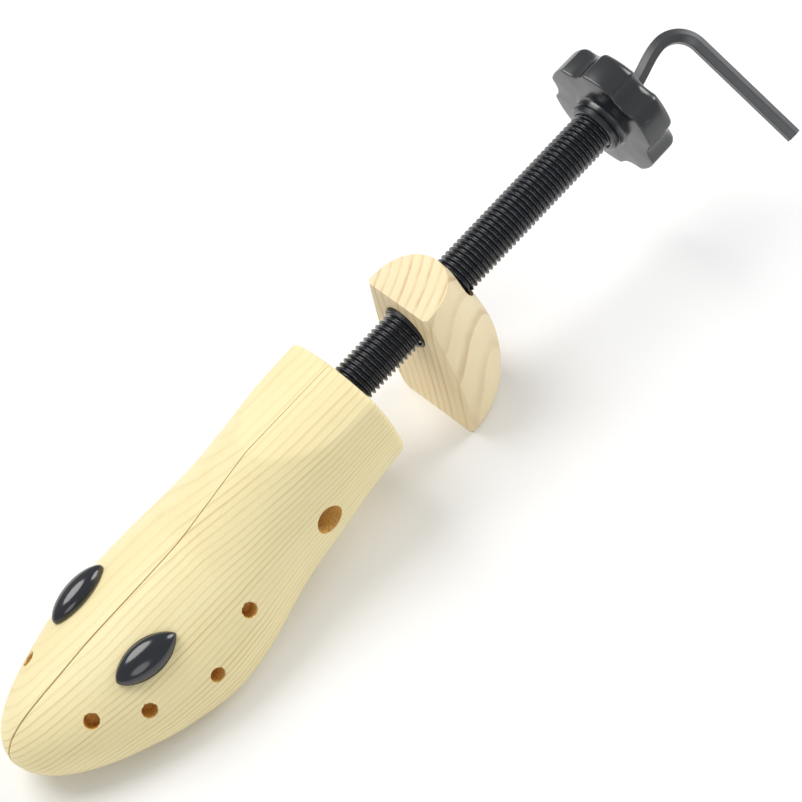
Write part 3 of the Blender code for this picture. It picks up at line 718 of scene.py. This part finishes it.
def make_knob():
    near_round, far_round = 0.9, 4.6
    flat_inset = 12.0
    profile = [(KNOB_NEAR_X, flat_inset), (KNOB_NEAR_X, near_round)]
    for i in range(1, 6):
        a = math.radians(18 * i)
        profile.append((KNOB_NEAR_X - near_round * (1 - math.cos(a)), near_round * (1 - math.sin(a))))
    for i in range(13):
        a = math.radians(7.5 * i)
        profile.append((KNOB_FAR_X + far_round * (1 - math.sin(a)), far_round * (1 - math.cos(a))))
    profile.append((KNOB_FAR_X, flat_inset))

    def place(u, v):
        x, inset = profile[round(v * (len(profile) - 1))]
        angle = TAU * u
        r = knob_radius(angle, KNOB_R - inset)
        return Vector((x, r * math.cos(angle), r * math.sin(angle)))

    knob = skin("knob_body", 240, len(profile) - 1, place)
    cut(knob, make_hub(), "UNION")
    for drill in (
        rod_cutter("tube_seat", (-150, 0, 0), (TUBE_END_X - 0.4, 0, 0), TUBE_R + 0.3, 72),
        rod_cutter("rod_way", (-168, 0, 0), (-192, 0, 0), ROD_WAY_R),
        rod_cutter("washer_recess", (-192, 0, 0), (RECESS_FLOOR_X, 0, 0), RECESS_R, 64),
        rod_cutter("set_screw_hole", (SET_SCREW_X, 0, -20), (SET_SCREW_X, 0, -9.0), SET_SCREW_R),
    ):
        cut(knob, drill)
    finish_piece(knob, "screw", ["knob"], MAT_KNOB, 30.0)


# ---------------------------------------------------------------- handle
def rod_path():
    """Centres and frames along the bar from its stud end to its tip."""
    leg = ROD_LEG_DIRECTION.normalized()
    across = Vector((-1, 0, 0)).cross(leg)
    centre = Vector((ROD_BEND_X + ROD_BEND_R, 0, 0)) + leg * (ROD_BEND_R - (ROD_LEG - ROD_TIP_FROM_AXIS))
    offset = centre - leg * ROD_BEND_R
    offset.x = 0
    start, end = KNOB_FAR_X - 2, centre.x
    rows = [(Vector((x, 0, 0)), leg) for x in (ROD_SHOULDER_X, start)]
    for i in range(1, 13):
        t = i / 12
        rows.append((Vector((start + (end - start) * t, 0, 0)) + offset * (t * t * (3 - 2 * t)), leg))
    for i in range(1, 21):
        a = math.radians(4.5 * i)
        outward = -leg * math.cos(a) + Vector((-1, 0, 0)) * math.sin(a)
        rows.append((centre + outward * ROD_BEND_R, -outward))
    tip = leg * ROD_TIP_FROM_AXIS
    rows.append((Vector((ROD_BEND_X, tip.y, tip.z)), Vector((1, 0, 0))))
    return rows, across


def make_rod():
    rows, across = rod_path()
    blunt = 0.06

    def place(u, v):
        centre, inner = rows[round(v * (len(rows) - 1))]
        step = round(u * 12) % 12
        side, late = divmod(step, 2)
        angle = math.radians(60 * side + (60 * blunt if late == 0 else 60 * (1 - blunt)))
        face = math.radians(60 * side + 30)
        r = ROD_ACROSS_FLATS / 2 / math.cos(angle - face)
        return centre + across * (r * math.cos(angle)) + inner * (r * math.sin(angle))

    rod = skin("handle_bar", 12, len(rows) - 1, place)
    stud = rod_cutter("stud", (ROD_SHOULDER_X - 4, 0, 0), (STUD_END_X, 0, 0), STUD_R)
    cut(rod, stud, "UNION")
    soften(rod, 0.3, 50.0)
    finish_piece(rod, "handle", ["handle_rod"], MAT_ROD, 22.0)


# ---------------------------------------------------------------- heel
def heel_value(z, column):
    """Smooth curve through one column of the heel's sections, straight in the lowest span."""
    rows = HEEL_SECTIONS
    i = max(0, min(len(rows) - 2, sum(1 for row in rows[1:] if row[0] < z)))
    z0, z1 = rows[i][0], rows[i + 1][0]
    t = (z - z0) / (z1 - z0)
    before = rows[max(0, i - 1)][column]
    a, b = rows[i][column], rows[i + 1][column]
    after = rows[min(len(rows) - 1, i + 2)][column]
    if i == 0:
        return a + (b - a) * t
    m0 = (b - before) / (z1 - rows[i - 1][0]) * (z1 - z0)
    m1 = (after - a) / (rows[min(len(rows) - 1, i + 2)][0] - z0) * (z1 - z0)
    share = t * t * (3 - 2 * t)
    return (1 - share) * a + t * (1 - t) ** 2 * m0 + share * b + t * t * (t - 1) * m1


def make_heel():
    """Block with a flat leaning front and a rounded back."""
    low, high = HEEL_SECTIONS[0][0], HEEL_SECTIONS[-1][0]
    front_share, edge_step = 0.93, 1.2

    def place(u, v):
        z = low + (high - low) * v
        half, depth = heel_value(z, 1), heel_value(z, 2)
        front = HEEL_FRONT_X - HEEL_LEAN * z
        if u < 0.25 or u > 0.75:
            share = (u + 0.25) % 1.0 * 2
            return Vector((front, half * front_share * (share * 2 - 1), z))
        a = math.pi * (u - 0.25) * 2
        reach = max(0.0, math.sin(a)) ** 0.82
        return Vector((front - edge_step - (depth - edge_step) * reach, half * math.cos(a), z))

    block = skin("heel_block_wood", 128, 96, place)
    block.data.materials.append(MAT_HEEL)
    soften(block, 0.45, 40.0)
    cut(block, rod_cutter("bush_hole", (-20, 0, 0), (-95, 0, 0), BUSH_HOLE_R, 96))
    finish_piece(block, "heel", ["heel_block"], smooth_angle=30.0)


def finish_hardware():
    """The small parts keep their own solids and only get a finish."""
    finishes = {"steel": MAT_STEEL, "black_plastic": MAT_BUSH}
    slots = {part["node"]: part["material_slot"] for part in frame["record"]["subparts"]}
    for name, obj in frame["nodes"].items():
        finish = finishes.get(slots.get(name))
        if finish is not None:
            obj.data.materials.clear()
            obj.data.materials.append(finish)


# ---------------------------------------------------------------- studio
def area_light(name, toward, distance, size, power, colour=(1, 1, 1)):
    """A soft box that faces the object from one direction of the screw's frame."""
    centre = TO_WORLD @ (Vector((10, 0, 0)) * MM)
    direction = (TO_WORLD.to_3x3() @ Vector(toward)).normalized()
    light = bpy.data.lights.new(name, "AREA")
    light.shape = "DISK"
    light.size = size
    light.energy = power
    light.color = colour
    obj = bpy.data.objects.new(name, light)
    obj.location = centre + direction * distance
    obj.rotation_euler = direction.to_track_quat("Z", "Y").to_euler()
    bpy.context.scene.collection.objects.link(obj)


def make_studio():
    bpy.ops.object.select_all(action="DESELECT")
    bpy.ops.mesh.primitive_plane_add(size=12.0, location=(0, 0, 0))
    floor = bpy.context.object
    floor.name = "studio_floor"
    mat, t, shader, place = base_material("pale_floor", 0.9)
    tone = t.mix(t.noise(place, 3.0), (0.93, 0.93, 0.93, 1), (0.95, 0.95, 0.95, 1))
    t.feed(shader.inputs["Base Color"], tone)
    shader.inputs["Specular IOR Level"].default_value = 0.1
    floor.data.materials.append(mat)
    world = bpy.data.worlds.new("studio")
    world.use_nodes = True
    background = world.node_tree.nodes["Background"]
    background.inputs["Color"].default_value = (0.98, 0.99, 1.0, 1)
    background.inputs["Strength"].default_value = 0.45
    bpy.context.scene.world = world
    bpy.context.scene.view_settings.view_transform = "Standard"
    area_light("key_softbox", (0.06, -0.52, 0.9), 1.3, 1.05, 12.0, (1.0, 0.985, 0.96))
    area_light("fill_softbox", (0.6, 1.0, 0.8), 1.6, 0.9, 3.0)
    area_light("rim_softbox", (-0.93, 0.17, 0.42), 1.3, 0.8, 7.0)


def make_camera():
    """Camera of the catalogue view, given in the screw's frame."""
    position = Vector((144.885, 487.083, 720.047))
    target = Vector((-10.287, 24.015, 0.0))
    up = Vector((-0.71649, -0.50623, 0.47997))
    back = (position - target).normalized()
    right = up.cross(back).normalized()
    turn = Matrix((right, back.cross(right), back)).transposed().to_4x4()
    data = bpy.data.cameras.new("camera")
    data.sensor_width = 36.0
    data.lens = 92.586
    data.clip_start = 0.01
    obj = bpy.data.objects.new("camera", data)
    bpy.context.scene.collection.objects.link(obj)
    obj.matrix_world = TO_WORLD @ Matrix.Translation(position * MM) @ turn
    bpy.context.scene.camera = obj


make_camera()
make_studio()
for tag, side in (("left", 1), ("right", -1)):
    make_forepart(tag, side)
    make_bunion(tag, side)
make_tube()
make_knob()
make_rod()
make_heel()
finish_hardware()
